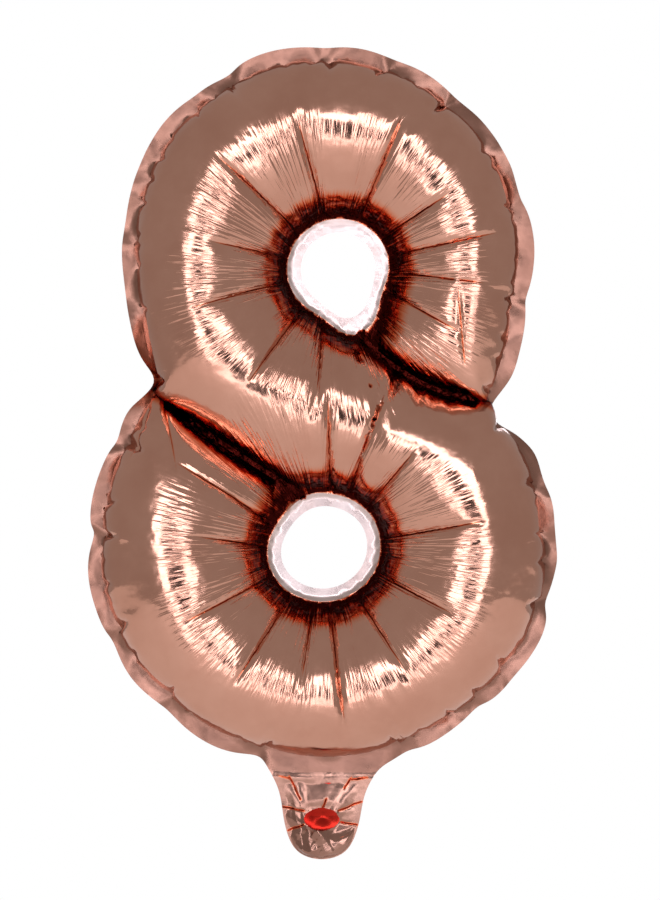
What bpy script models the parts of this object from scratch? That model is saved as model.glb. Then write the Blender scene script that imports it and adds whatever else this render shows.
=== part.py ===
"""Foil number balloon: an inflated figure 8 made of two foil films, with its seams, filling tail and valve.

The figure is one long S-shaped tube. Each end of the S is welded shut against the diagonal, so a welded
groove runs from each hole out to the waist. The balloon hangs upright on a wall by the back of its upper loop.
"""

import math

import bpy
import numpy as np
from mathutils import Vector
from mathutils.geometry import delaunay_2d_cdt

# Driving dimensions, in metres. X is right, Z is up from the tail's tip, Y is depth, and the front faces -Y.
HEIGHT = 0.360  # tail tip to the top of the seam, once inflated
TUBE_ROUNDNESS = 0.66  # depth of the tube against that of a tube with a round section
WALL_STAND_OFF = 0.0222  # mid-plane to wall; the back's crest is flat where it touches the wall

UPPER_CENTRE = Vector((0.000, 0.267))
UPPER_RADIUS = HEIGHT - UPPER_CENTRE.y
LOWER_CENTRE = Vector((0.000, 0.133))
LOWER_HALF_WIDTH = 0.1053
LOWER_HALF_HEIGHT = 0.096
LEFT_NOTCH = Vector((-0.077, 0.2115))
RIGHT_NOTCH = Vector((0.0756, 0.1985))
WAIST_EXPONENT = 2.35  # how square the loops are beside the waist; 2 is an ellipse

SEAM_WIDTH = 0.006  # outer edge to weld line
SEAM_UNDER_PANEL = 0.0015  # how far the fused margin reaches in under a panel's rim
SEAM_THICKNESS = 0.0008
SLIT_HALF_WIDTH = 0.0016  # weld line to groove's centre line
SLIT_SAG = {"upper": Vector((0.0388, 0.2098)), "lower": Vector((-0.0418, 0.1751))}  # Bezier handles

HOLES = {  # centre, weld radius, direction of the tip in degrees, how far the tip reaches past the radius
    "upper": (Vector((0.0038, 0.2628)), 0.0223, -76, 0.28),
    "lower": (Vector((0.0002, 0.1379)), 0.0245, 112, 0.10),
}
HOLE_SEAM_WIDTH = 0.0042
TIP_SPREAD = math.radians(26)

FILM_THICKNESS = 0.0006
VALVE_FILM_THICKNESS = 0.0002
GAP = 0.0003  # between pieces that touch

TAIL_HINGE_HEIGHT = 0.0355
TAIL_NECK_HALF_WIDTH = 0.0230
TAIL_SIDE = [  # half the tail's outline, from under the neck down to its tip
    (0.0193, 0.0325),
    (0.0177, 0.0255),
    (0.0170, 0.0180),
    (0.0152, 0.0100),
    (0.0105, 0.0030),
    (0.0000, 0.0000),
]
TAIL_SEAM_WIDTH = 0.0045
TAIL_SEAM_THICKNESS = 0.0004
INLET_CENTRE_HEIGHT = 0.0172
INLET_HALF_WIDTH = 0.0074
INLET_HALF_HEIGHT = 0.0046

VALVE_HALF_WIDTH = 0.0095
VALVE_SHOULDER = 0.004
VALVE_LIP_TOP = 0.0640
VALVE_LIP_BASE = 0.0376
VALVE_TAIL_TOP = 0.0352
VALVE_TAIL_BASE = 0.0110
NECK_HALF_GAP = 0.0105

# How finely the shapes are divided.
EDGE_STEP = 0.0072  # along a seam
PANEL_STEP = 0.0098  # between a panel's inner points
RIM_ROWS = (0.0018, 0.0065)  # rows of points this far inside a weld line

# The crest of the upper loop's back, which sticks to the wall, is the frame's origin.
WALL_DOT = Vector((0.0, WALL_STAND_OFF, 0.3175))

FOIL = ("foil", (0.78, 0.47, 0.38), 0.22, 1.0)
SEAL = ("seal", (0.74, 0.50, 0.43), 0.30, 1.0)
VALVE_FILM = ("valve_film", (0.86, 0.86, 0.84), 0.40, 0.0)


# ---------------------------------------------------------------- outlines in the mid-plane, as (x, z) points


def waist_depth(half_width, centre, notch):
    """The superellipse's half height that carries a loop through a notch of the waist."""
    across = abs(notch.x - centre.x) / half_width
    return abs(notch.y - centre.y) / (1 - across**WAIST_EXPONENT) ** (1 / WAIST_EXPONENT)


def loop_arc(centre, half_width, far_height, near_side, notches, samples=400):
    """One loop's outline, anticlockwise between the notches. near_side is -1 where the waist is below it."""
    right, left = notches
    points = []
    # The outline's angle at each notch, measured from +X towards the waist.
    reach = [
        math.acos((abs(notch.x - centre.x) / half_width) ** (WAIST_EXPONENT / 2))
        for notch in (right, left)
    ]
    first, last = (-reach[0], math.pi + reach[1]) if near_side < 0 else (math.pi - reach[1], 2 * math.pi + reach[0])
    for angle in np.linspace(first, last, samples):
        cosine, sine = math.cos(angle), math.sin(angle)
        if sine * near_side > 0:
            notch = right if cosine > 0 else left
            power, height = 2 / WAIST_EXPONENT, waist_depth(half_width, centre, notch)
        else:
            power, height = 1, far_height
        points.append(
            (
                centre.x + half_width * math.copysign(abs(cosine) ** power, cosine),
                centre.y + height * math.copysign(abs(sine) ** power, sine),
            )
        )
    return np.array(points)


def spaced(points, step):
    """An open line of points, spread evenly about a step apart, with its ends kept."""
    along = np.concatenate([[0], np.cumsum(np.linalg.norm(np.diff(points, axis=0), axis=1))])
    at = np.linspace(0, along[-1], max(2, round(along[-1] / step) + 1))
    return np.stack([np.interp(at, along, points[:, k]) for k in range(2)], axis=1)


def outer_outline():
    """The cut edge of the figure, anticlockwise from the right notch, as a closed polygon."""
    notches = (RIGHT_NOTCH, LEFT_NOTCH)
    upper = loop_arc(UPPER_CENTRE, UPPER_RADIUS, UPPER_RADIUS, -1, notches)
    lower = loop_arc(LOWER_CENTRE, LOWER_HALF_WIDTH, LOWER_HALF_HEIGHT, 1, notches)
    return np.concatenate([spaced(upper, EDGE_STEP)[:-1], spaced(lower, EDGE_STEP)[:-1]])


def inset(polygon, distance):
    """An anticlockwise polygon moved inwards along its corners' bisectors."""
    ahead = np.roll(polygon, -1, axis=0) - np.roll(polygon, 1, axis=0)
    inwards = np.stack([-ahead[:, 1], ahead[:, 0]], axis=1)
    return polygon + distance * inwards / np.linalg.norm(inwards, axis=1)[:, None]


def hole_outline(which, growth=0.0, count=None):
    """A hole's weld line: a circle with a tip towards its groove."""
    centre, radius, tip_degrees, tip_share = HOLES[which]
    count = count or round(2 * math.pi * radius / (0.72 * EDGE_STEP))
    angles = np.linspace(0, 2 * math.pi, count, endpoint=False) + math.radians(tip_degrees)
    from_tip = (angles - math.radians(tip_degrees) + math.pi) % (2 * math.pi) - math.pi
    radii = radius * (1 + tip_share * np.exp(-((from_tip / TIP_SPREAD) ** 2))) + growth
    return np.array(centre) + radii[:, None] * np.stack([np.cos(angles), np.sin(angles)], axis=1)


def slit_line(which, samples=60):
    """A groove's centre line, from its notch to just inside its hole's weld line."""
    centre, radius, tip_degrees, tip_share = HOLES[which]
    notch = {"upper": RIGHT_NOTCH, "lower": LEFT_NOTCH}[which]
    tip = Vector((math.cos(math.radians(tip_degrees)), math.sin(math.radians(tip_degrees))))
    hole_end = centre + tip * radius * (1 + 0.85 * tip_share)
    t = np.linspace(0, 1, samples)[:, None]
    return (1 - t) ** 2 * np.array(notch) + 2 * t * (1 - t) * np.array(SLIT_SAG[which]) + t**2 * np.array(hole_end)


def band(line, half_width):
    """A closed polygon of this half width around an open line."""
    ahead = np.gradient(line, axis=0)
    side = np.stack([-ahead[:, 1], ahead[:, 0]], axis=1)
    side *= half_width / np.linalg.norm(side, axis=1)[:, None]
    return np.concatenate([line - side, (line + side)[::-1]])


def inside(points, polygon):
    """Which points lie in a polygon, by counting the edges to their right."""
    a, b = polygon, np.roll(polygon, -1, axis=0)
    x, z = points[:, 0, None], points[:, 1, None]
    spans = (a[:, 1] > z) != (b[:, 1] > z)
    rise = np.where(b[:, 1] == a[:, 1], 1.0, b[:, 1] - a[:, 1])
    crossing = a[:, 0] + (z - a[:, 1]) * (b[:, 0] - a[:, 0]) / rise
    return (spans & (x < crossing)).sum(axis=1) % 2 == 1


def distance_to(points, polygons):
    """Each point's distance to the nearest edge of the polygons."""
    nearest = np.full(len(points), np.inf)
    for polygon in polygons:
        a, b = polygon, np.roll(polygon, -1, axis=0)
        along = b - a
        share = ((points[:, None] - a) * along).sum(axis=2) / np.maximum((along**2).sum(axis=1), 1e-12)
        foot = a + np.clip(share, 0, 1)[:, :, None] * along
        nearest = np.minimum(nearest, np.linalg.norm(points[:, None] - foot, axis=2).min(axis=1))
    return nearest


# ---------------------------------------------------------------- the inflated panels


def chamber_mesh():
    """The gas chamber's flat outline as triangles: (points, triangles, which points are on its weld line)."""
    weld = inset(outer_outline(), SEAM_WIDTH)
    grooves = [band(spaced(slit_line(which), EDGE_STEP), SLIT_HALF_WIDTH) for which in HOLES]
    holes = [hole_outline(which) for which in HOLES]
    borders = [weld, *grooves, *holes]

    rows = [inset(weld, row) for row in RIM_ROWS]
    rows += [hole_outline(which, row) for which in HOLES for row in RIM_ROWS]
    rows += [band(spaced(slit_line(which), EDGE_STEP), SLIT_HALF_WIDTH + row) for which in HOLES for row in RIM_ROWS]
    rows = np.concatenate(rows)
    across = np.arange(-0.12, 0.12, PANEL_STEP)
    up = np.arange(0.03, 0.37, PANEL_STEP * math.sqrt(3) / 2)
    lattice = np.array([(x + PANEL_STEP / 2 * (j % 2), z) for j, z in enumerate(up) for x in across])

    def in_chamber(points, clearance):
        within = inside(points, weld)
        for cut in [*grooves, *holes]:
            within &= ~inside(points, cut)
        return within & (distance_to(points, borders) > clearance)

    rows = rows[in_chamber(rows, 0.85 * RIM_ROWS[0])]
    kept = []
    for point in rows:  # rows that run into each other are thinned
        if all((point[0] - k[0]) ** 2 + (point[1] - k[1]) ** 2 > (0.45 * EDGE_STEP) ** 2 for k in kept):
            kept.append(point)
    lattice = lattice[in_chamber(lattice, RIM_ROWS[-1] + 0.55 * PANEL_STEP)]

    points, edges = [], []
    for border in borders:
        first = len(points)
        points += [Vector(p) for p in border]
        edges += [(first + i, first + (i + 1) % len(border)) for i in range(len(border))]
    points += [Vector(p) for p in [*kept, *lattice]]
    made, _, faces, *_ = delaunay_2d_cdt(points, edges, [], 0, 1e-6)
    made = np.array([(p.x, p.y) for p in made])
    faces = np.array([list(face) for face in faces])
    faces = faces[in_chamber(made[faces].mean(axis=1), 0.0)]
    used, faces = np.unique(faces, return_inverse=True)
    made, faces = made[used], faces.reshape(-1, 3)
    sides = np.sort(np.concatenate([faces[:, [0, 1]], faces[:, [1, 2]], faces[:, [2, 0]]]), axis=1)
    sides, uses = np.unique(sides, axis=0, return_counts=True)
    on_weld = np.zeros(len(made), bool)
    on_weld[sides[uses == 1].ravel()] = True
    return made, faces, on_weld


def membrane_heights(points, faces, fixed):
    """How far an evenly loaded skin, held at its weld line, stands off the mid-plane at each point."""
    a, b, c = (points[faces[:, k]] for k in range(3))
    double_area = np.abs(np.cross(b - a, c - a))
    load = np.zeros(len(points))
    weights = []
    for k, (p, q, r) in enumerate(((a, b, c), (b, c, a), (c, a, b))):
        np.add.at(load, faces[:, k], double_area / 6)
        # The cotangent at p weighs the opposite edge, from q to r.
        weights.append(((q - p) * (r - p)).sum(axis=1) / double_area / 2)
    ends = [(faces[:, 1], faces[:, 2]), (faces[:, 2], faces[:, 0]), (faces[:, 0], faces[:, 1])]
    start, stop = (np.concatenate([pair[k] for pair in ends]) for k in range(2))
    weight = np.concatenate(weights)
    free = ~fixed

    def stiffness(u):
        pull = weight * (u[start] - u[stop])
        out = np.bincount(start, pull, len(u)) - np.bincount(stop, pull, len(u))
        return out * free

    # Conjugate gradients on the free points.
    height = np.zeros(len(points))
    residual = load * free
    direction, size = residual.copy(), residual @ residual
    for _ in range(600):
        product = stiffness(direction)
        step = size / (direction @ product)
        height += step * direction
        residual -= step * product
        size, before = residual @ residual, size
        if size < 1e-24:
            break
        direction = residual + size / before * direction
    return TUBE_ROUNDNESS * np.sqrt(2 * np.maximum(height, 0))


# ---------------------------------------------------------------- objects


def material(name, colour, roughness, metallic):
    found = bpy.data.materials.get(name)
    if found:
        return found
    made = bpy.data.materials.new(name)
    made.use_nodes = True
    shader = made.node_tree.nodes["Principled BSDF"]
    shader.inputs["Base Color"].default_value = (*colour, 1.0)
    shader.inputs["Roughness"].default_value = roughness
    shader.inputs["Metallic"].default_value = metallic
    return made


def clear_scene():
    for old in list(bpy.data.objects):
        bpy.data.objects.remove(old, do_unlink=True)


def in_balloon(obj, parent, finish):
    """Puts an object in the balloon's collection, under its parent empty, with its material."""
    collection = bpy.data.collections.get("foil_number_balloon")
    if collection is None:
        collection = bpy.data.collections.new("foil_number_balloon")
        bpy.context.scene.collection.children.link(collection)
    collection.objects.link(obj)
    obj.parent = parent
    if finish:
        obj.data.materials.append(material(*finish))
    return obj


def empty(name, parent, place):
    made = in_balloon(bpy.data.objects.new(name, None), parent, None)
    made.location = place
    return made


def panel(name, side, chamber, heights, parent):
    """One inflated film. side is -1 for the front and 1 for the back, whose crest is flat against the wall."""
    points, faces, _ = chamber
    rim = SEAM_THICKNESS / 2 + GAP + FILM_THICKNESS
    depth = rim + heights
    if side > 0:
        depth = np.minimum(depth, WALL_STAND_OFF)
        faces = faces[:, ::-1]
    mesh = bpy.data.meshes.new(name)
    mesh.from_pydata([(x, side * y, z) for (x, z), y in zip(points, depth)], [], faces.tolist())
    mesh.shade_smooth()
    made = in_balloon(bpy.data.objects.new(name, mesh), parent, FOIL)
    wall = made.modifiers.new("film", "SOLIDIFY")
    wall.thickness = FILM_THICKNESS
    wall.offset = -1
    return made


def plate(name, polygons, thickness, depth, parent, finish):
    """A flat film in the mid-plane's direction, from its outline and any holes, centred at this depth."""
    curve = bpy.data.curves.new(name, "CURVE")
    curve.dimensions = "2D"
    curve.fill_mode = "BOTH"
    curve.extrude = thickness / 2
    for polygon in polygons:
        spline = curve.splines.new("POLY")
        spline.points.add(len(polygon) - 1)
        spline.use_cyclic_u = True
        for point, (x, z) in zip(spline.points, polygon):
            point.co = (x, z, 0, 1)
    made = in_balloon(bpy.data.objects.new(name, curve), parent, finish)
    made.rotation_euler = (math.pi / 2, 0, 0)
    made.location.y = depth
    return made


def catmull_rom(points, per_span=4):
    """An open smooth line through these points."""
    padded = np.concatenate([points[:1], points, points[-1:]])
    made = []
    for before, a, b, after in zip(padded, padded[1:], padded[2:], padded[3:]):
        for t in np.linspace(0, 1, per_span, endpoint=False):
            bend = (2 * before - 5 * a + 4 * b - after) * t**2
            made.append((2 * a + (b - before) * t + bend + (3 * a - before - 3 * b + after) * t**3) / 2)
    return np.array([*made, points[-1]])


def under_neck(across):
    """Points just below the lower loop's edge, at these distances from the centre line."""
    across = np.asarray(across)
    drop = LOWER_HALF_HEIGHT * np.sqrt(1 - (across / LOWER_HALF_WIDTH) ** 2)
    return np.stack([across, LOWER_CENTRE.y - drop - GAP], axis=1)


def tail_outline():
    """The tail's U, from the neck's left corner round the tip to the right one, and its top edge back."""
    top = under_neck(np.linspace(TAIL_NECK_HALF_WIDTH, -TAIL_NECK_HALF_WIDTH, 9))
    right = np.array([top[0], *TAIL_SIDE])
    half = catmull_rom(right)
    sides = np.concatenate([(half * (-1, 1))[:-1], half[::-1]])
    return sides, top[1:-1]


def outer_seam(parent):
    """The fused margin round the figure, open at the neck where the valve passes."""
    edge = outer_outline()
    inner = inset(edge, SEAM_WIDTH + SEAM_UNDER_PANEL)
    at_neck = (np.abs(edge[:, 0]) < NECK_HALF_GAP) & (edge[:, 1] < LOWER_CENTRE.y)
    first = int(np.argmax(at_neck))
    order = np.roll(np.arange(len(edge)), -first)
    order = order[~at_neck[order]]
    plate("outer_seam", [np.concatenate([edge[order], inner[order][::-1]])], SEAM_THICKNESS, 0, parent, SEAL)


def hole_seams(parent):
    for which in HOLES:
        ring = [hole_outline(which, SEAM_UNDER_PANEL), hole_outline(which, -HOLE_SEAM_WIDTH)]
        plate(f"{which}_hole_seam", ring, SEAM_THICKNESS, 0, parent, SEAL)


def slit_seams(parent):
    """The fused strip at the bottom of each groove, between its hole's seam and the outer seam."""
    margin = inset(outer_outline(), SEAM_WIDTH + SEAM_UNDER_PANEL)
    half = SLIT_HALF_WIDTH + SEAM_UNDER_PANEL
    for which in HOLES:
        line = slit_line(which, samples=240)
        ring = hole_outline(which, SEAM_UNDER_PANEL, count=120)
        clear = distance_to(line, [ring]) > half + GAP
        clear &= ~inside(line, ring) & inside(line, margin) & (distance_to(line, [margin]) > half + GAP)
        strip = band(spaced(line[clear], EDGE_STEP), half)
        plate(f"{which}_slit_seam", [strip[::-1]], SEAM_THICKNESS, 0, parent, SEAL)


def tail(parent):
    """The filling tail: two plies welded round their edge, with the inlet in the front one."""
    sides, top = tail_outline()
    outline = np.concatenate([sides, top])
    angles = np.linspace(0, 2 * math.pi, 20, endpoint=False)
    across = INLET_HALF_WIDTH * np.cos(angles)
    inlet = np.stack([across, INLET_CENTRE_HEIGHT + INLET_HALF_HEIGHT * np.sin(angles)], axis=1)
    ply_depth = TAIL_SEAM_THICKNESS / 2 + GAP + FILM_THICKNESS / 2
    plate("tail_front_ply", [outline, inlet], FILM_THICKNESS, -ply_depth, parent, FOIL)
    plate("tail_back_ply", [outline], FILM_THICKNESS, ply_depth, parent, FOIL)
    # The weld follows the sides and tip, and leaves the top open to the neck.
    inner = inset(outline, TAIL_SEAM_WIDTH)[: len(sides)]
    below = inner[inner[:, 1] < sides[0, 1] - TAIL_SEAM_WIDTH]
    ends = under_neck([below[-1, 0], below[0, 0]])
    weld = np.concatenate([sides, ends[:1], below[::-1], ends[1:]])
    plate("tail_seam", [weld], TAIL_SEAM_THICKNESS, 0, parent, SEAL)


def valve_film(name, base, top, side, parent):
    """A length of one of the valve's two films, with rounded shoulders at its inner end."""
    shoulder = VALVE_SHOULDER
    half = [(VALVE_HALF_WIDTH, base), (VALVE_HALF_WIDTH, top - shoulder), (VALVE_HALF_WIDTH - shoulder, top)]
    right = np.array(half)
    outline = np.concatenate([right, (right * (-1, 1))[::-1]])
    depth = side * (GAP + VALVE_FILM_THICKNESS) / 2
    plate(name, [outline], VALVE_FILM_THICKNESS, depth, parent, VALVE_FILM)


def build():
    clear_scene()
    figure = empty("balloon_frame", None, (-WALL_DOT.x, -WALL_DOT.y, -WALL_DOT.z))
    chamber = chamber_mesh()
    heights = membrane_heights(*chamber)
    panel("front_panel", -1, chamber, heights, figure)
    panel("back_panel", 1, chamber, heights, figure)
    outer_seam(figure)
    hole_seams(figure)
    slit_seams(figure)

    axis = empty("tail_hinge", figure, (0, 0, TAIL_HINGE_HEIGHT))
    moving = empty("tail_frame", axis, (0, 0, -TAIL_HINGE_HEIGHT))
    tail(moving)
    for side, face in ((-1, "front"), (1, "back")):
        valve_film(f"tail_valve_{face}_film", VALVE_TAIL_BASE, VALVE_TAIL_TOP, side, moving)
        valve_film(f"valve_{face}_lip", VALVE_LIP_BASE, VALVE_LIP_TOP, side, figure)


build()
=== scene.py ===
"""The looks of the foil number balloon: two films cut flat, inflated by simulation, in the CAD's place.

The flat pattern is an 8 cut from two films. Where they are fused there is one layer: in the margin round the
figure, the rings round the holes and the strips of the grooves. In between there are two, with gas between.
Relaxing that film under pressure pulls in the outline, gathers the seams and folds the skin into creases.
"""
import math

import bpy
import numpy as np
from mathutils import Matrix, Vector
from mathutils.bvhtree import BVHTree
from mathutils.geometry import delaunay_2d_cdt
from mathutils.kdtree import KDTree


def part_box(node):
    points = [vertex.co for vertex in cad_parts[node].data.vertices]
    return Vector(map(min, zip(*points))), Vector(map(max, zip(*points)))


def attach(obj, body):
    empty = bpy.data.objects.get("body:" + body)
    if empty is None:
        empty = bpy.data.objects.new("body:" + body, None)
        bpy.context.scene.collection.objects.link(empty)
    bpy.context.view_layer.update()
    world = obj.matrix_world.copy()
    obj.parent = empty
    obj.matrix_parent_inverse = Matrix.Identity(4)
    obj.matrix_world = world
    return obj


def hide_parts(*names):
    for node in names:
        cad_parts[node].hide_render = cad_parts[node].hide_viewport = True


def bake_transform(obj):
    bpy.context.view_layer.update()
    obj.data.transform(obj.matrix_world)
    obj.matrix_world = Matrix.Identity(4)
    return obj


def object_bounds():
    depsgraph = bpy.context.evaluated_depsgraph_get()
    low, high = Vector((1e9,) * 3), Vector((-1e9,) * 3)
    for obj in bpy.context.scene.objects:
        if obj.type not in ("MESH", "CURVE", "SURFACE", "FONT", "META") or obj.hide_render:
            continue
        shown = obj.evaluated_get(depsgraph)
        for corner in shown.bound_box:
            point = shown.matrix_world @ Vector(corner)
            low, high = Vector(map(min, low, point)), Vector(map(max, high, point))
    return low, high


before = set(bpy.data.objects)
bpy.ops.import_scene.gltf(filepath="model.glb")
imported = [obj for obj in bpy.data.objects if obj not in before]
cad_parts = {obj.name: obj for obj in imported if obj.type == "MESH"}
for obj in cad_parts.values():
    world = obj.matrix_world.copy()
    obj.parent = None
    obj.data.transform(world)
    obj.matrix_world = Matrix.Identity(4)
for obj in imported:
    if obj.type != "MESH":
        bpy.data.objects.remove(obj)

CAD_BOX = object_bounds()

# ---------------------------------------------------------------- the flat pattern, in metres
# X is right and Z is up from the figure's lowest edge, before inflation.
UPPER_CENTRE, UPPER_RADIUS = np.array((0.0150, 0.2560)), 0.1070
LOWER_CENTRE, LOWER_HALF_WIDTH, LOWER_HALF_HEIGHT = np.array((0.0010, 0.1110)), 0.1235, 0.1110
LEFT_NOTCH, RIGHT_NOTCH = np.array((-0.0825, 0.1925)), np.array((0.1010, 0.1810))
WAIST_EXPONENT = 2.1
SEAM_WIDTH = 0.0075
SLIT_HALF_WIDTH = 0.0010
HOLE_SEAM_WIDTH = 0.0052
TIP_SPREAD = math.radians(26)
# Each hole: centre, weld radius, direction of its tip in degrees, how far the tip reaches past the radius,
# the notch its groove runs to and the groove's Bezier handle.
HOLES = {
    "upper": (np.array((0.0228, 0.2478)), 0.0198, -70, 0.58, RIGHT_NOTCH, np.array((0.051, 0.1925))),
    "lower": (np.array((0.0010, 0.1150)), 0.0222, 112, 0.12, LEFT_NOTCH, np.array((-0.044, 0.1620))),
}
# Creases that run out from each hole, as directions in degrees.
CREASES = {
    "upper": (107, 69, 36, 15, -3, -24, 138, 168, 193, 227, 254, 278),
    "lower": (82, 62, 40, 5, -29, -57, -84, -100, -123, -150, 179, 155),
}
# Folds at the tube's two ends, from the knot of each waist.
END_FOLDS = (
    ((0.0830, 0.2060), (0.0780, 0.2450)),
    ((-0.0750, 0.1800), (-0.0690, 0.1420)),
    ((-0.0810, 0.1790), (-0.0930, 0.1480)),
)
CREASE_START, CREASE_LENGTH, CREASE_SPREAD = 0.0015, 0.050, 0.16  # along it, from the hole's weld
CREASE_ROW, CREASE_ROWS_BELOW = 0.0009, 0.003  # a row of points each side, on patterns finer than this
CREASE_CARVE = 0.0013  # how much sharper the creases are made once the film is at rest
CREASE_DRAW = 6.0  # how hard a crease is drawn in, against the pressure on it
COARSE_STEP, COARSE_ROUNDS, FINE_STEP, FINE_ROUNDS = 0.004, 1700, 0.002, 900
PRESSURE, PRESSURE_EVERY = 0.60, 3
MARGIN_STIFFNESS = 1.5  # the fused margin against the single film
FLANGE_SMOOTHING, FLANGE_FLATTENING = 9, 0.40
# How much of the seam's waver in depth is taken out, fading this far inwards.
SEAM_CALM, SEAM_CALM_REACH = 0.85, 0.0150
# Painted shade in the folds: how far it reaches from a hole's and a groove's weld, and how dark it is in a
# crease.
HOLE_SHADE_REACH, GROOVE_SHADE_REACH, CREASE_SHADE = 0.0200, 0.0115, 0.62
HOLE_SINK, HOLE_SINK_REACH = 0.0022, 0.0150  # how far the film drops beside a hole's weld, over this width
SINK_PEAK = 6.75  # brings the peak of t (1 - t)^2 to 1
MOST_SINK_SHARE = 0.8  # of the film's distance from the middle

TAIL_NECK_HALF_WIDTH = 0.0265
TAIL_SIDE = (
    (0.0203, -0.0060),
    (0.0181, -0.0130),
    (0.0173, -0.0200),
    (0.0153, -0.0280),
    (0.0108, -0.0365),
    (0.0, -0.0398),
)


def loop_arc(centre, half_width, far_height, near_side, samples=1600):
    """One loop's outline, anticlockwise between the notches. near_side is -1 where the waist is below it."""
    right, left = (
        math.acos((abs(notch[0] - centre[0]) / half_width) ** (WAIST_EXPONENT / 2))
        for notch in (RIGHT_NOTCH, LEFT_NOTCH)
    )
    first, last = (-right, math.pi + left) if near_side < 0 else (math.pi - left, 2 * math.pi + right)
    points = []
    for angle in np.linspace(first, last, samples):
        cosine, sine = math.cos(angle), math.sin(angle)
        power, height = 1, far_height
        if sine * near_side > 0:
            notch = RIGHT_NOTCH if cosine > 0 else LEFT_NOTCH
            across = abs(notch[0] - centre[0]) / half_width
            power = 2 / WAIST_EXPONENT
            height = abs(notch[1] - centre[1]) / (1 - across**WAIST_EXPONENT) ** (1 / WAIST_EXPONENT)
        x = centre[0] + half_width * math.copysign(abs(cosine) ** power, cosine)
        points.append((x, centre[1] + height * math.copysign(abs(sine) ** power, sine)))
    return np.array(points)


def spaced(points, step):
    """An open line of points, spread evenly about a step apart, with its ends kept."""
    along = np.concatenate([[0], np.cumsum(np.linalg.norm(np.diff(points, axis=0), axis=1))])
    at = np.linspace(0, along[-1], max(2, round(along[-1] / step) + 1))
    return np.stack([np.interp(at, along, points[:, k]) for k in range(2)], axis=1)


def figure_outline(step):
    """The figure's cut edge, anticlockwise from the right notch, as a closed polygon without the tail."""
    upper = loop_arc(UPPER_CENTRE, UPPER_RADIUS, UPPER_RADIUS, -1)
    lower = loop_arc(LOWER_CENTRE, LOWER_HALF_WIDTH, LOWER_HALF_HEIGHT, 1)
    return np.concatenate([spaced(upper, step)[:-1], spaced(lower, step)[:-1]])


def inset(polygon, distance):
    """An anticlockwise polygon moved inwards along its corners' bisectors."""
    ahead = np.roll(polygon, -1, axis=0) - np.roll(polygon, 1, axis=0)
    inwards = np.stack([-ahead[:, 1], ahead[:, 0]], axis=1)
    return polygon + distance * inwards / np.linalg.norm(inwards, axis=1)[:, None]


def catmull_rom(points, per_span=12):
    """An open smooth line through these points."""
    padded = np.concatenate([points[:1], points, points[-1:]])
    made = []
    for before, a, b, after in zip(padded, padded[1:], padded[2:], padded[3:]):
        for t in np.linspace(0, 1, per_span, endpoint=False):
            bend = (2 * before - 5 * a + 4 * b - after) * t**2
            made.append((2 * a + (b - before) * t + bend + (3 * a - before - 3 * b + after) * t**3) / 2)
    return np.array([*made, points[-1]])


def tail_line(step):
    """The tail's outline below the figure, from the neck's left corner round the tip to the right one."""
    x = TAIL_NECK_HALF_WIDTH
    corner = (x, LOWER_CENTRE[1] - LOWER_HALF_HEIGHT * math.sqrt(1 - (x / LOWER_HALF_WIDTH) ** 2))
    right = catmull_rom(np.array([corner, *TAIL_SIDE]))
    return spaced(np.concatenate([(right * (-1, 1))[:-1], right[::-1]]), step)


def with_tail(figure, step):
    """The whole film's cut edge: the figure's outline with the tail let in at its lowest point."""
    at_neck = (np.abs(figure[:, 0]) < TAIL_NECK_HALF_WIDTH + step / 3) & (figure[:, 1] < LOWER_CENTRE[1])
    first = int(np.argmax(at_neck))
    order = np.roll(np.arange(len(figure)), -first)
    return np.concatenate([tail_line(step), figure[order[~at_neck[order]]]])


def hole_outline(which, step, growth=0.0):
    """A line round a hole at this distance outside its weld: a circle with a tip towards its groove."""
    centre, radius, tip, tip_share, *_ = HOLES[which]
    angles = np.linspace(0, 2 * math.pi, round(2 * math.pi * (radius + growth) / step), endpoint=False)
    angles += math.radians(tip)
    from_tip = (angles - math.radians(tip) + math.pi) % (2 * math.pi) - math.pi
    radii = radius * (1 + tip_share * np.exp(-((from_tip / TIP_SPREAD) ** 2))) + growth
    return centre + radii[:, None] * np.stack([np.cos(angles), np.sin(angles)], axis=1)


def slit_band(which, step):
    """The fused strip along a groove, as a closed polygon from its notch to just inside its hole."""
    centre, radius, tip, tip_share, notch, handle = HOLES[which]
    direction = np.array((math.cos(math.radians(tip)), math.sin(math.radians(tip))))
    end = centre + direction * radius * (1 + 0.85 * tip_share)
    t = np.linspace(0, 1, 200)[:, None]
    line = spaced((1 - t) ** 2 * notch + 2 * t * (1 - t) * handle + t**2 * end, step)
    ahead = np.gradient(line, axis=0)
    side = np.stack([-ahead[:, 1], ahead[:, 0]], axis=1)
    side *= SLIT_HALF_WIDTH / np.linalg.norm(side, axis=1)[:, None]
    return np.concatenate([line - side, (line + side)[::-1]])


def inside(points, polygon):
    """Which points lie in a polygon, by counting the edges to their right."""
    a, b = polygon, np.roll(polygon, -1, axis=0)
    x, z = points[:, 0, None], points[:, 1, None]
    spans = (a[:, 1] > z) != (b[:, 1] > z)
    rise = np.where(b[:, 1] == a[:, 1], 1.0, b[:, 1] - a[:, 1])
    crossing = a[:, 0] + (z - a[:, 1]) * (b[:, 0] - a[:, 0]) / rise
    return (spans & (x < crossing)).sum(axis=1) % 2 == 1


# The pattern's zones. The film behind the chamber has the same pattern as the one in front.
BACK, TAIL, MARGIN, UPPER_RING, LOWER_RING, UPPER_GROOVE, LOWER_GROOVE, CHAMBER = range(8)

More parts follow.
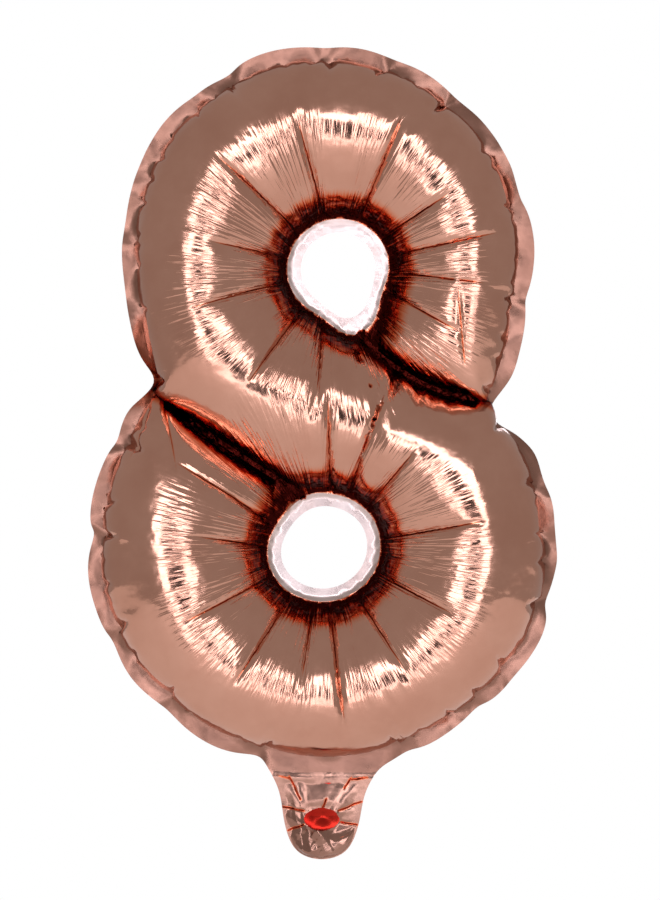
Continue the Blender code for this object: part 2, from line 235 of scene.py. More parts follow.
# ---------------------------------------------------------------- the pieces, in metres
FILM_THICKNESS = 0.0001
TAIL_PUFF = {-1: 0.0009, 1: 0.0024}  # how far the tail's front (-1) and back (1) films stand out
INLET_CENTRE, INLET_HALF = (0.0, -0.0210), np.array((0.0078, 0.0050))  # in the flat pattern
INLET_DENT, INLET_BOWL = 0.0006, 0.0020
LINING_GAP = 0.00012  # from the tail's middle to each film of its valve
NECK_GAP, LEAST_RELIEF = 0.00002, 0.00030  # from the middle to the tail's films, at and below the neck
TAIL_FOLDS, TAIL_FOLD_CENTRE, TAIL_FOLD_SPREAD = 14, -0.030, 0.012
TAIL_FOLD_SLOPES, TAIL_FOLD_HALF_WIDTH = (0.10, 0.32), 0.0035
# Creases of the tail's films: from, to, depth and width.
TAIL_CREASES = (
    ((0.0205, -0.0020), (0.0135, -0.0030), 0.0003, 0.0005),
    ((0.0140, -0.0005), (0.0100, -0.0070), 0.0003, 0.0005),
    ((-0.0205, -0.0015), (-0.0150, -0.0030), 0.0003, 0.0005),
    ((-0.0155, -0.0010), (-0.0095, -0.0125), 0.0004, 0.0005),
    ((-0.0180, -0.0160), (-0.0080, -0.0175), 0.0006, 0.0005),
    ((0.0175, -0.0130), (0.0075, -0.0172), 0.0006, 0.0005),
    ((0.0020, -0.0120), (0.0005, -0.0158), 0.0004, 0.0005),
    ((0.0160, -0.0235), (0.0085, -0.0222), 0.0007, 0.0005),
    ((-0.0150, -0.0265), (-0.0080, -0.0235), 0.0007, 0.0005),
)
TAIL_CREASE_SHADE, NECK_SHADE = 0.64, 0.12
# Places taken from the frame.
MIDDLE_Y = (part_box("outer_seam")[0].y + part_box("outer_seam")[1].y) / 2
NECK_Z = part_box("outer_seam")[0].z
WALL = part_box("back_panel")[1].y - MIDDLE_Y - FILM_THICKNESS
WAIST_Z = (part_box("upper_hole_seam")[0].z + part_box("lower_hole_seam")[1].z) / 2
INLET_Z = NECK_Z - 0.0195
VALVE_HALF_WIDTH, VALVE_THICKNESS = 0.0095, 0.00006
LIP_LOW = NECK_Z + SEAM_WIDTH + 0.0015
LINING_TOP = NECK_Z - 0.0045
STRIP_GRID = (39, 41)  # points across and up each strip of the valve
COMB_PER_RADIAN = 46.0
# The line between the two loops' combs: its slope across the figure and how far the change is spread.
WAIST_TILT, WAIST_BLEND = 0.45, 0.004
DENT_HEIGHT, GRAIN_HEIGHT, CRUMPLE_HEIGHT = 0.00045, 0.00002, 0.0014  # of the foil's bumps, in metres
# Painted shade: the foil's colour darkened to red and near black by how deep it lies in a fold.
FOLD_SHADE_COLOURS = (
    (0.0, (0.86, 0.42, 0.28)),
    (0.34, (0.80, 0.17, 0.06)),
    (0.50, (0.38, 0.028, 0.010)),
    (0.66, (0.04, 0.003, 0.002)),
)

# ---------------------------------------------------------------- the studio, in metres
FLOOR_Z, FLOOR_RADIUS, FLOOR_GLOW, FLOOR_COLOUR = -0.55, 1.5, 0.25, (0.90, 0.89, 0.88)
ROOM = 0.33  # how bright the room is, seen in the foil
# The softboxes stand round the camera like a window frame: name, place from the object's middle, width,
# height and brightness.
SOFTBOXES = (
    ("above", (0.0, -1.45, 0.38), 1.05, 0.26, 3.2),
    ("below", (0.0, -1.45, -0.36), 1.05, 0.20, 2.0),
    ("left", (-0.39, -1.45, 0.0), 0.26, 0.50, 3.0),
    ("right", (0.39, -1.45, 0.0), 0.26, 0.50, 3.0),
)
BEHIND = 0.6  # the same frame of lights behind the object, against the one in front
# A dark square behind the camera, which the foil's crests mirror.
FLAG_SIZE, FLAG_DISTANCE, FLAG_COLOUR = 0.52, 1.75, (0.03, 0.03, 0.03)
CAMERA_DISTANCE, FRAME_HEIGHT = 1.5, 0.4014
FRAME_OFFSET = (0.0033, 0.0, 0.0016)  # from the object's middle to the picture's


def crease_lines(step):
    """The bottom of each crease as (points in a row, how hard it is drawn in at each point)."""
    for which, directions in CREASES.items():
        centre, radius, *_ = HOLES[which]
        for number, degrees in enumerate(directions):
            out = np.array((math.cos(math.radians(degrees)), math.sin(math.radians(degrees))))
            length = CREASE_LENGTH * (1 + CREASE_SPREAD * math.sin(2.4 * number))
            along = np.arange(CREASE_START, length, 0.8 * step)
            share = np.clip(along / 0.004, 0, 1) * np.clip((length - along) / 0.018, 0, 1)
            yield centre + (radius + along)[:, None] * out, share
    for start, end in END_FOLDS:
        start, end = np.array(start), np.array(end)
        along = np.linspace(0, 1, max(3, round(np.linalg.norm(end - start) / (0.8 * step))))
        share = 0.5 * np.clip(along / 0.15, 0, 1) * np.clip((1 - along) / 0.4, 0, 1)
        yield start + along[:, None] * (end - start), share


def tree_of(points):
    tree = KDTree(len(points))
    for i, (x, z) in enumerate(points):
        tree.insert((x, z, 0), i)
    tree.balance()
    return tree


def flat_film(step, seed):
    """The flat pattern as triangles: (points, triangles, each triangle's zone)."""
    figure = figure_outline(step)
    cut = with_tail(figure, step)
    weld = inset(figure, SEAM_WIDTH)
    slits = [slit_band(which, step) for which in HOLES]
    holes = [hole_outline(which, step) for which in HOLES]
    rims = [hole_outline(which, step, -HOLE_SEAM_WIDTH) for which in HOLES]
    points, edges = [], []
    for border in (cut, weld, *slits, *holes, *rims):
        first = len(points)
        points += border.tolist()
        edges += [(first + i, first + (i + 1) % len(border)) for i in range(len(border))]
    # A straight line of points, longer than the neck is wide, parts the tail from the margin.
    neck = np.arange(-TAIL_NECK_HALF_WIDTH - step, TAIL_NECK_HALF_WIDTH + 2 * step, step)
    first = len(points)
    points += [(x, 0.0) for x in neck.tolist()]
    edges += [(first + i, first + i + 1) for i in range(len(neck) - 1)]

    borders = tree_of(points)
    for line, _ in crease_lines(step):
        room = np.array([borders.find((*p, 0))[2] > 0.8 * step for p in line.tolist()]) & inside(line, weld)
        room[:2] = True
        line = line[np.cumprod(room).astype(bool)]
        line = line[[borders.find((*p, 0))[2] > 0.6 * step for p in line.tolist()]]
        first = len(points)
        points += line.tolist()
        edges += [(first + i, first + i + 1) for i in range(len(line) - 1)]
        if step < CREASE_ROWS_BELOW and len(line) > 2:
            along = np.gradient(line, axis=0)
            aside = np.stack([-along[:, 1], along[:, 0]], axis=1) * CREASE_ROW
            aside /= np.linalg.norm(along, axis=1)[:, None]
            beside = np.concatenate([line - aside, line + aside]).tolist()
            points += [p for p in beside if borders.find((*p, 0))[2] > 0.5 * step]

    random = np.random.default_rng(seed)
    across = np.arange(-0.15, 0.15, step)
    up = np.arange(-0.045, 0.42, step * math.sqrt(3) / 2)
    lattice = np.array([(x + step / 2 * (j % 2), z) for j, z in enumerate(up) for x in across])
    lattice += random.uniform(-0.12, 0.12, lattice.shape) * step
    lattice = lattice[inside(lattice, cut)]
    borders = tree_of(points)
    points += [p for p in lattice.tolist() if borders.find((*p, 0))[2] > 0.62 * step]

    made, _, faces, *_ = delaunay_2d_cdt([Vector(p) for p in points], edges, [], 0, 1e-7)
    made = np.array([(p.x, p.y) for p in made])
    faces = np.array([list(face) for face in faces])
    middle = made[faces].mean(axis=1)
    film = inside(middle, cut)
    for rim in rims:
        film &= ~inside(middle, rim)
    faces, middle = faces[film], middle[film]
    used, faces = np.unique(faces, return_inverse=True)
    made, faces = made[used], faces.reshape(-1, 3)

    zone = np.full(len(faces), MARGIN)
    zone[middle[:, 1] < 0] = TAIL
    zone[inside(middle, weld)] = CHAMBER
    for groove, ring, slit, hole in zip((UPPER_GROOVE, LOWER_GROOVE), (UPPER_RING, LOWER_RING), slits, holes):
        zone[inside(middle, slit) & (zone == CHAMBER)] = groove
        zone[inside(middle, hole)] = ring
    return made, faces, zone


def cross(u, v):
    return u[0] * v[1] - u[1] * v[0]


class Film:
    """The two films, fused where the pattern has one layer, as points joined by springs."""

    def __init__(self, step, seed):
        flat, faces, zone = flat_film(step, seed)
        self.step = step
        a, b, c = (flat[faces[:, k]].T for k in range(3))
        # Seen from the front every triangle turns anticlockwise, so its normal points forwards, along -Y.
        faces = np.where((cross(b - a, c - a) < 0)[:, None], faces[:, ::-1], faces)
        chamber = faces[zone == CHAMBER]
        in_chamber = np.zeros(len(flat), bool)
        in_chamber[chamber.ravel()] = True
        inner = in_chamber & ~self.on_edges(chamber, len(flat), 1)
        behind = np.arange(len(flat))
        behind[inner] = len(flat) + np.arange(inner.sum())
        self.flat = np.concatenate([flat, flat[inner]])
        self.side = np.concatenate([np.where(inner, -1, 0), np.ones(inner.sum(), int)])
        self.faces = np.concatenate([chamber, behind[chamber][:, ::-1], faces[zone != CHAMBER]])
        fused = zone != CHAMBER
        self.zone = np.concatenate([zone[~fused], np.full(len(chamber), BACK), zone[fused]])
        self.gas = self.faces[(self.zone == CHAMBER) | (self.zone == BACK)]
        self.place = np.stack([self.flat[:, 0], 0.0005 * self.side, self.flat[:, 1]], axis=1)
        self.make_springs()

    @staticmethod
    def on_edges(faces, count, uses):
        """Which points are on an edge that this many faces share."""
        ends = np.sort(np.concatenate([faces[:, [0, 1]], faces[:, [1, 2]], faces[:, [2, 0]]]), axis=1)
        ends, found = np.unique(ends, axis=0, return_counts=True)
        on = np.zeros(count, bool)
        on[ends[found == uses].ravel()] = True
        return on

    def make_springs(self):
        """The edges' own lengths, and their weights in the film's curvature."""
        faces, count = self.faces, len(self.flat)
        ends = np.sort(np.concatenate([faces[:, [0, 1]], faces[:, [1, 2]], faces[:, [2, 0]]]), axis=1)
        ends = np.unique(ends, axis=0)
        self.a, self.b = ends.T
        self.length = np.linalg.norm(self.flat[self.a] - self.flat[self.b], axis=1)
        self.weight = np.zeros(len(ends))
        key = self.a * count + self.b
        for k in range(3):
            o, a, b = faces[:, k], faces[:, (k + 1) % 3], faces[:, (k + 2) % 3]
            u, v = (self.flat[a] - self.flat[o]).T, (self.flat[b] - self.flat[o]).T
            cotangent = (u * v).sum(axis=0) / np.maximum(np.abs(cross(u, v)), 1e-12)
            found = np.searchsorted(key, np.minimum(a, b) * count + np.maximum(a, b))
            np.add.at(self.weight, found, 0.5 * cotangent)
        self.weight = np.clip(self.weight, 0.0, 3.0)[:, None]
        edge = self.on_edges(faces, count, 1) | self.on_edges(faces, count, 3)
        self.bends = np.where(edge, 0.0, np.where(self.side == 0, MARGIN_STIFFNESS, 1.0))[:, None]
        self.draw = np.ones((count, 1))
        self.crease = np.zeros(count)
        for line, share in crease_lines(self.step):
            tree = tree_of(line.tolist())
            for i in np.nonzero(self.side)[0]:
                _, nearest, distance = tree.find((*self.flat[i], 0))
                if distance < 0.2 * self.step:
                    self.crease[i] = share[nearest]
                    self.draw[i] = 1 - CREASE_DRAW * share[nearest]
                    self.bends[i] = 0.0

    def gather(self, index, force):
        """Adds up a force per edge or corner into one per point."""
        return np.stack([np.bincount(index, force[:, k], len(self.flat)) for k in range(3)], axis=1)

    def curvature(self, place):
        pull = (place[self.b] - place[self.a]) * self.weight
        return self.gather(self.a, pull) - self.gather(self.b, pull)

    def relax(self, rounds, pressure, squeeze, bending, damping=0.01, dt=0.45):
        """Lets the film come to rest. squeeze is how hard it resists shortening, against stretching."""
        place, speed = self.place, np.zeros_like(self.place)
        for done in range(rounds):
            apart = place[self.b] - place[self.a]
            length = np.sqrt((apart * apart).sum(axis=1))
            longer = length - self.length
            pull = (np.where(longer > 0, 1.0, squeeze) * longer / np.maximum(length, 1e-9))[:, None] * apart
            if done % PRESSURE_EVERY == 0:
                a, b, c = (place[self.gas[:, k]] for k in range(3))
                push = np.cross(b - a, c - a) * (pressure / 6)
                push = sum(self.gather(self.gas[:, k], push) for k in range(3)) * self.draw
            bend = self.curvature(self.curvature(place) * self.bends)
            force = self.gather(self.a, pull) - self.gather(self.b, pull) + push - bending * bend
            speed = (speed + dt * force) * (1 - damping)
            place = place + dt * speed
            np.minimum(place[:, 1], WALL, out=place[:, 1])
        self.place = place

    def carry_from(self, coarse):
        """Takes each point to where the coarser film holds the same spot of the pattern."""
        flat = coarse.flat
        for side in (-1, 0, 1):
            faces = coarse.faces[coarse.zone == BACK if side > 0 else coarse.zone != BACK]
            tree = BVHTree.FromPolygons([(x, z, 0) for x, z in flat.tolist()], faces.tolist())
            for i in np.nonzero(self.side == side)[0]:
                spot, _, found, _ = tree.find_nearest((*self.flat[i], 0))
                a, b, c = flat[faces[found]]
                p = np.array((spot.x, spot.y))
                whole = cross(b - a, c - a)
                u, v = cross(p - a, c - a) / whole, cross(b - a, p - a) / whole
                self.place[i] = np.array((1 - u - v, u, v)) @ coarse.place[faces[found]]

    def sharpen(self):
        """Deepens the creases' bottoms and the hollows round the holes, then calms the fused margins."""
        normal = corner_normals(self.place, self.gas)
        self.place -= normal * (CREASE_CARVE * self.crease)[:, None]
        share = np.clip(self.from_welds(hole_outline) / HOLE_SINK_REACH, 0, 1)
        dip = HOLE_SINK * SINK_PEAK * share * (1 - share) ** 2
        dip = np.minimum(dip, MOST_SINK_SHARE * np.abs(self.place[:, 1]))
        self.place[:, 1] -= np.sign(self.place[:, 1]) * dip * (self.side != 0)
        fused = self.faces[(self.zone != CHAMBER) & (self.zone != BACK)]
        welded = self.on_edges(self.faces, len(self.flat), 3)
        self.calm_seam(welded)
        self.smooth_fused(fused, welded)

    def calm_seam(self, welded):
        """Takes most of the outer seam's waver in depth out of it and of the film beside it."""
        seam = np.zeros(len(self.flat), bool)
        seam[self.faces[self.zone == MARGIN].ravel()] = True
        seam = np.nonzero(seam & welded)[0]
        tree = tree_of(self.flat[seam].tolist())
        found = [tree.find((*p, 0))[1:] for p in self.flat.tolist()]
        nearest, away = (np.array(values) for values in zip(*found))
        near = 1 - smooth(0.0, SEAM_CALM_REACH, away)
        self.place[:, 1] -= SEAM_CALM * self.place[seam[nearest], 1] * near

    def smooth_fused(self, fused, welded):
        """Smooths the fused film outside its welds, which is stiffer than the springs make it."""
        count = len(self.flat)
        loose = np.zeros(count, bool)
        loose[fused.ravel()] = True
        loose &= ~welded & (self.side == 0)
        ends = np.sort(np.concatenate([fused[:, [0, 1]], fused[:, [1, 2]], fused[:, [2, 0]]]), axis=1)
        a, b = np.unique(ends, axis=0).T
        # A point on the film's cut edge follows only its neighbours along that edge.
        rim = self.on_edges(self.faces, count, 1)
        same = rim[a] == rim[b]
        counts_a = np.where(same | ~rim[a], 1.0, 0.0)
        counts_b = np.where(same | ~rim[b], 1.0, 0.0)
        share = np.bincount(a, counts_a, count) + np.bincount(b, counts_b, count)
        for _ in range(FLANGE_SMOOTHING):
            total = self.gather(a, self.place[b] * counts_a[:, None])
            total += self.gather(b, self.place[a] * counts_b[:, None])
            mean = total / np.maximum(share, 1e-9)[:, None]
            self.place[loose] += 0.5 * (mean - self.place)[loose]
        self.place[loose, 1] *= FLANGE_FLATTENING

    def from_welds(self, line):
        """Each point's distance in the pattern from the holes' or the grooves' welds."""
        tree = tree_of(np.concatenate([line(which, 0.0005) for which in HOLES]).tolist())
        return np.array([tree.find((*p, 0))[2] for p in self.flat.tolist()])

    def fold_shade_depth(self):
        """The mask of the painted shade in the folds, from 0 to 1: how deep in a fold each point lies, by a
        hole's or a groove's weld, or in a crease.
        """
        away = self.from_welds(hole_outline), self.from_welds(slit_band)
        fold_shade = np.maximum(1 - away[0] / HOLE_SHADE_REACH, 1 - away[1] / GROOVE_SHADE_REACH)
        fold_shade = np.clip(fold_shade, 0, 1) * (self.side != 0)
        fused = self.faces[(self.zone == UPPER_GROOVE) | (self.zone == LOWER_GROOVE)]
        fold_shade[fused.ravel()] = 1.0
        return np.maximum(fold_shade, CREASE_SHADE * self.crease**0.5)


def inflated():
    """The film at rest under pressure, from a coarse pattern to a fine one."""
    coarse = Film(COARSE_STEP, 1)
    coarse.place += np.random.default_rng(3).normal(0, 5e-5, coarse.place.shape)
    coarse.relax(COARSE_ROUNDS, PRESSURE, squeeze=0.08, bending=0.004)
    fine = Film(FINE_STEP, 2)
    fine.carry_from(coarse)
    fine.relax(FINE_ROUNDS, PRESSURE, squeeze=0.5, bending=0.0005)
    fine.sharpen()
    return fine


# ---------------------------------------------------------------- pieces
def place_film(film):
    """Moves the film, without turning or scaling it, to where the CAD has the figure."""
    figure = film.place[film.flat[:, 1] >= 0]
    low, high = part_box("outer_seam")
    film.place += (
        (low.x + high.x) / 2 - (figure[:, 0].min() + figure[:, 0].max()) / 2,
        MIDDLE_Y,
        low.z - figure[:, 2].min(),
    )


def corner_normals(points, faces):
    """Each point's normal, from the faces round it."""
    a, b, c = (points[faces[:, k]] for k in range(3))
    normal = np.cross(b - a, c - a)
    total = np.zeros_like(points)
    for k in range(3):
        np.add.at(total, faces[:, k], normal)
    return total / np.maximum(np.linalg.norm(total, axis=1), 1e-15)[:, None]


def in_four(points, faces, *carried):
    """Each triangle cut into four. New points follow the surface's curve; carried arrays take the mean."""
    ends = np.concatenate([faces[:, [0, 1]], faces[:, [1, 2]], faces[:, [2, 0]]])
    pairs, index = np.unique(np.sort(ends, axis=1), axis=0, return_inverse=True)
    a, b = pairs.T
    normal = corner_normals(points, faces)
    lift = ((points[b] - points[a]) * (normal[a] - normal[b])).sum(axis=1)[:, None] / 16
    middle = (points[a] + points[b]) / 2 - lift * -(normal[a] + normal[b])
    new = len(points) + index.reshape(3, -1)
    ab, bc, ca = new
    o, p, q = faces.T
    cut = [np.stack(corner, axis=1) for corner in ((o, ab, ca), (ab, p, bc), (ca, bc, q), (ab, bc, ca))]
    more = [np.concatenate([values, (values[a] + values[b]) / 2]) for values in carried]
    return [np.concatenate([points, middle]), np.concatenate(cut), *more]


def thickened(points, faces, thickness):
    """A closed film this thick, half to each side of the sheet: (points, faces, the edges round its rim)."""
    shift = corner_normals(points, faces) * thickness / 2
    ends = np.concatenate([faces[:, [0, 1]], faces[:, [1, 2]], faces[:, [2, 0]]])
    count = len(points)
    key = ends.min(axis=1) * count + ends.max(axis=1)
    _, first, uses = np.unique(key, return_index=True, return_counts=True)
    rim = ends[first[uses == 1]]
    sides = np.concatenate([
        np.stack([rim[:, 1], rim[:, 0], rim[:, 0] + count], axis=1),
        np.stack([rim[:, 1], rim[:, 0] + count, rim[:, 1] + count], axis=1),
    ])
    points = np.concatenate([points + shift, points - shift])
    faces = np.concatenate([faces, faces[:, ::-1] + count, sides])
    return points, faces, np.concatenate([rim, rim + count])


def piece(name, points, faces, material, body, slot, *nodes, thickness=FILM_THICKNESS, fold_shade=None):
    """One film as an object: it rides on its body and stands for its CAD nodes. Its slot is not used."""
    points, faces, rim = thickened(points, faces, thickness)
    mesh = bpy.data.meshes.new(name)
    mesh.from_pydata(points.tolist(), [], faces.tolist())
    mesh.shade_smooth()
    # The film stays smooth right up to its rim, so that films that meet there look like one.
    ends = np.zeros(2 * len(mesh.edges), np.int32)
    mesh.edges.foreach_get("vertices", ends)
    ends = np.sort(ends.reshape(-1, 2), axis=1).astype(np.int64)
    rim = np.sort(rim, axis=1)
    sharp = np.isin(ends[:, 0] * len(points) + ends[:, 1], rim[:, 0] * len(points) + rim[:, 1])
    mesh.attributes.new("sharp_edge", "BOOLEAN", "EDGE").data.foreach_set("value", sharp)
    mesh.materials.append(material)
    # The painted shade of the folds goes on each point as an attribute.
    if fold_shade is not None:
        mesh.attributes.new("fold_shade", "FLOAT", "POINT").data.foreach_set("value", np.tile(fold_shade, 2))
    made = bpy.data.objects.new(name, mesh)
    bpy.context.scene.collection.objects.link(made)
    if body:
        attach(made, body)
    if nodes:
        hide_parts(*nodes)
    return made


def part_of(film, zone):
    """The film's faces in one zone, with only their points: (points, faces, flat points, depth of the painted
    fold shade).
    """
    faces = film.faces[film.zone == zone]
    used, faces = np.unique(faces, return_inverse=True)
    return film.place[used], faces.reshape(-1, 3), film.flat[used], film.fold_shade_depth()[used]


def make_figure(film):
    films = (
        ("front_film", CHAMBER, "foil", "front_panel"),
        ("back_film", BACK, "foil", "back_panel"),
        ("margin_film", MARGIN, "seal", "outer_seam"),
        ("upper_hole_ring", UPPER_RING, "seal", "upper_hole_seam"),
        ("lower_hole_ring", LOWER_RING, "seal", "lower_hole_seam"),
        ("upper_groove_film", UPPER_GROOVE, "seal", "upper_slit_seam"),
        ("lower_groove_film", LOWER_GROOVE, "seal", "lower_slit_seam"),
    )
    for name, zone, slot, node in films:
        points, faces, _, fold_shade = part_of(film, zone)
        # The rings take a paler copy of the foil as painted light, the margin a darker copy as painted shade;
        # each film carries the painted fold shade.
        material = {UPPER_RING: SEAM_FOIL_LIT, LOWER_RING: SEAM_FOIL_LIT, MARGIN: MARGIN_FOIL_SHADED}.get(zone, FOIL)
        if zone not in (CHAMBER, BACK):
            points, faces, fold_shade = in_four(points, faces, fold_shade)
        made = piece(name, points, faces, material, "balloon", slot, node, fold_shade=fold_shade)


# ---------------------------------------------------------------- the tail
def from_segment(points, a, b):
    """Each point's distance from a straight segment."""
    a, b = np.array(a), np.array(b)
    share = np.clip((points - a) @ (b - a) / ((b - a) @ (b - a)), 0, 1)
    return np.linalg.norm(points - a - share[:, None] * (b - a), axis=1)


def smooth(start, end, values):
    t = np.clip((values - start) / (end - start), 0, 1)
    return t * t * (3 - 2 * t)


def tail_edge_distance(flat):
    """How far each point of the tail's pattern is from its cut edge."""
    line = tail_line(0.0005)
    tree = tree_of(line.tolist())
    return np.array([tree.find((*p, 0))[2] for p in flat.tolist()])


def tail_relief(flat, edge, side):
    """How far each point of one of the tail's films stands out of the tail's middle."""
    x, z = flat.T
    puff = TAIL_PUFF[side] * smooth(0.0, 0.010, edge) * smooth(-0.0005, -0.017, z)
    relief = LINING_GAP + puff
    for a, b, depth, width in TAIL_CREASES:
        relief -= depth * np.exp(-from_segment(flat, a, b) / width) * smooth(0.0, 0.002, edge)
    # Crumpled facets below the inlet: a few folds across each other, each a ridge with straight sides.
    random = np.random.default_rng(11 if side < 0 else 12)
    crumple = np.zeros(len(flat))
    for _ in range(TAIL_FOLDS):
        turn = random.uniform(0, math.pi)
        at = random.uniform(-TAIL_FOLD_SPREAD, TAIL_FOLD_SPREAD)
        height = random.uniform(*TAIL_FOLD_SLOPES)
        across = x * math.cos(turn) + (z - TAIL_FOLD_CENTRE) * math.sin(turn) - at
        crumple += height * np.maximum(0, TAIL_FOLD_HALF_WIDTH - np.abs(across))
    below = smooth(-0.014, -0.024, z) * smooth(0.0004, 0.003, edge)
    relief += crumple * below + 0.25 * crumple * smooth(-0.002, -0.01, z) * smooth(0.0, 0.003, edge)
    return NECK_GAP + np.maximum(relief, LEAST_RELIEF) * smooth(0.0, -0.0025, z)


def make_tail(film):
    points, faces, flat, _ = part_of(film, TAIL)
    for _ in range(2):
        points, faces, flat = in_four(points, faces, flat)
    points[:, 1] = MIDDLE_Y + (points[:, 1] - MIDDLE_Y) * (1 - smooth(-0.001, -0.014, flat[:, 1]))
    edge = tail_edge_distance(flat)
    # Painted shade: the tail's creases are darkened in colour, and so is its neck, most near the figure.
    fold_shade = np.zeros(len(flat))
    for a, b, _, width in TAIL_CREASES:
        fold_shade = np.maximum(fold_shade, np.exp(-((from_segment(flat, a, b) / (1.2 * width)) ** 2)))
    fold_shade *= TAIL_CREASE_SHADE * smooth(-0.0005, -0.003, flat[:, 1])
    fold_shade = np.maximum(fold_shade, NECK_SHADE * (1 - smooth(-0.005, -0.014, flat[:, 1])))
    centre = np.array(INLET_CENTRE)
    films = (
        (-1, "tail_front_film", ("tail_front_ply", "tail_seam")),
        (1, "tail_back_film", ("tail_back_ply",)),
    )
    width, length = np.ptp(flat[:, 0]), np.ptp(flat[:, 1])
    a, b, c = (flat[faces[:, k]].T for k in range(3))
    for side, name, nodes in films:
        shaped = points.copy()
        shaped[:, 1] += side * tail_relief(flat, edge, side)
        kept = faces if side < 0 else faces[:, ::-1]
        if side < 0:
            # The inlet: an oval opening whose rim curls in.
            away = np.linalg.norm((flat - centre) / INLET_HALF, axis=1)
            shaped[:, 1] += INLET_DENT * (1 - smooth(0.9, 1.9, away))
            kept = kept[away[kept].mean(axis=1) > 1.0]
        used, kept = np.unique(kept, return_inverse=True)
        kept = kept.reshape(-1, 3)
        made = piece(name, shaped[used], kept, TAIL_FOIL_SHADED, None, "foil", *nodes, fold_shade=fold_shade[used])
        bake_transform(made)


def strip(name, low, high, depth_at, material, body, node):
    """A strip of the valve's film between two heights, as deep as depth_at says at each (x, z)."""
    columns, rows = STRIP_GRID
    across = np.linspace(-VALVE_HALF_WIDTH, VALVE_HALF_WIDTH, columns)
    up = np.linspace(low, high, rows)
    x, z = (grid.ravel() for grid in np.meshgrid(across, up))
    points = np.stack([x, MIDDLE_Y + depth_at(x, z), z], axis=1)
    corner = (np.arange(rows - 1)[:, None] * columns + np.arange(columns - 1)).ravel()
    faces = np.concatenate([
        np.stack([corner, corner + 1, corner + columns + 1], axis=1),
        np.stack([corner, corner + columns + 1, corner + columns], axis=1),
    ])
    piece(name, points, faces, material, body, "valve_film", node, thickness=VALVE_THICKNESS)


def make_valve():
    """The valve's two films: loose lips inside the figure, and the inlet's lining inside the tail."""
    for side, which in ((-1, "front"), (1, "back")):
        lip_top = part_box(f"valve_{which}_lip")[1].z

        def lip(x, z, side=side, top=lip_top):
            risen = smooth(LIP_LOW, top, z)
            open_by = 0.0020 * risen * np.cos(x / VALVE_HALF_WIDTH * 1.2)
            return side * (0.00015 + open_by) + 0.0006 * np.sin(x * 420 + side) * risen

        node = f"valve_{which}_lip"
        strip(f"{node}_film", LIP_LOW, lip_top, lip, VALVE, "balloon", node)

        def lining(x, z, side=side):
            away = np.hypot(x / INLET_HALF[0], (z - INLET_Z) / INLET_HALF[1])
            return side * LINING_GAP + INLET_BOWL * (1 - smooth(0.0, 1.35, away) ** 0.7)

        node = f"tail_valve_{which}_film"
        # The front lining takes the deep red copy of the foil: painted shade for light bouncing in the
        # inlet's pocket.
        material = INLET_RED_SHADE if side < 0 else VALVE
        strip(f"tail_valve_{which}_lining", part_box(node)[0].z, LINING_TOP, lining, material, "tail", node)


# ---------------------------------------------------------------- materials
class Nodes:
    """A material's node tree, built a node at a time."""

    def __init__(self, name):
        self.material = bpy.data.materials.new(name)
        self.material.use_nodes = True
        self.tree = self.material.node_tree
        self.shader = self.tree.nodes["Principled BSDF"]

    def add(self, kind, inputs=(), **settings):
        node = self.tree.nodes.new(kind)
        for name, value in settings.items():
            setattr(node, name, value)
        for key, value in dict(inputs).items():
            if isinstance(value, bpy.types.NodeSocket):
                self.tree.links.new(value, node.inputs[key])
            else:
                node.inputs[key].default_value = value
        return node

    def math(self, operation, *values, clamp=False):
        node = self.add("ShaderNodeMath", dict(enumerate(values)), operation=operation, use_clamp=clamp)
        return node.outputs[0]

    def scaled(self, value, low, high, to_low=0.0, to_high=1.0, steps="SMOOTHSTEP"):
        node = self.add(
            "ShaderNodeMapRange",
            {0: value, 1: low, 2: high, 3: to_low, 4: to_high},
            interpolation_type=steps,
        )
        return node.outputs[0]

    def noise(self, vector, scale, detail=2.0, roughness=0.5):
        inputs = {"Vector": vector, "Scale": scale, "Detail": detail, "Roughness": roughness}
        return self.add("ShaderNodeTexNoise", inputs).outputs[0]

    def bump(self, height, distance, normal=None, strength=1.0):
        inputs = {"Strength": strength, "Distance": distance, "Height": height}
        if normal is not None:
            inputs["Normal"] = normal
        return self.add("ShaderNodeBump", inputs).outputs[0]

    def colours(self, share, *stops):
        node = self.add("ShaderNodeValToRGB", {0: share})
        ramp = node.color_ramp
        while len(ramp.elements) < len(stops):
            ramp.elements.new(0.5)
        for element, (at, colour) in zip(ramp.elements, stops):
            element.position, element.color = at, (*colour, 1.0)
        return node.outputs[0]

    def set(self, **inputs):
        for name, value in inputs.items():
            socket = self.shader.inputs[name.replace("_", " ")]
            if isinstance(value, bpy.types.NodeSocket):
                self.tree.links.new(value, socket)
            else:
                socket.default_value = value


def comb(nodes, place, which):
    """The height of fine wrinkles that run out from a loop's hole, strong from the hole past the crest."""
    low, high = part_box(f"{which}_hole_seam")
    x = nodes.math("SUBTRACT", place[0], (low.x + high.x) / 2)
    z = nodes.math("SUBTRACT", place[2], (low.z + high.z) / 2)
    toward = 1.0 if which == "upper" else -1.0
    # The angle's jump from +180 to -180 degrees points at the other loop.
    angle = nodes.math("ARCTAN2", x, nodes.math("MULTIPLY", z, toward))
    squares = nodes.math("MULTIPLY", x, x), nodes.math("MULTIPLY", z, z)
    radius = nodes.math("SQRT", nodes.math("ADD", *squares))
    fine = nodes.add("ShaderNodeCombineXYZ", {
        0: nodes.math("MULTIPLY", angle, COMB_PER_RADIAN),
        1: nodes.math("MULTIPLY", radius, 55.0),
        2: nodes.math("MULTIPLY", place[1], 30.0),
    }).outputs[0]
    wrinkle = nodes.noise(fine, 1.0, detail=1.5)
    reach = nodes.scaled(radius, 0.081, 0.064)
    # The comb comes and goes round the loop.
    patches = nodes.scaled(nodes.noise(fine, 0.11, detail=0.0), 0.38, 0.62, 0.35, 1.0)
    wrinkle = nodes.math("SUBTRACT", wrinkle, 0.45)
    return nodes.math("MULTIPLY", nodes.math("MULTIPLY", wrinkle, reach), patches)


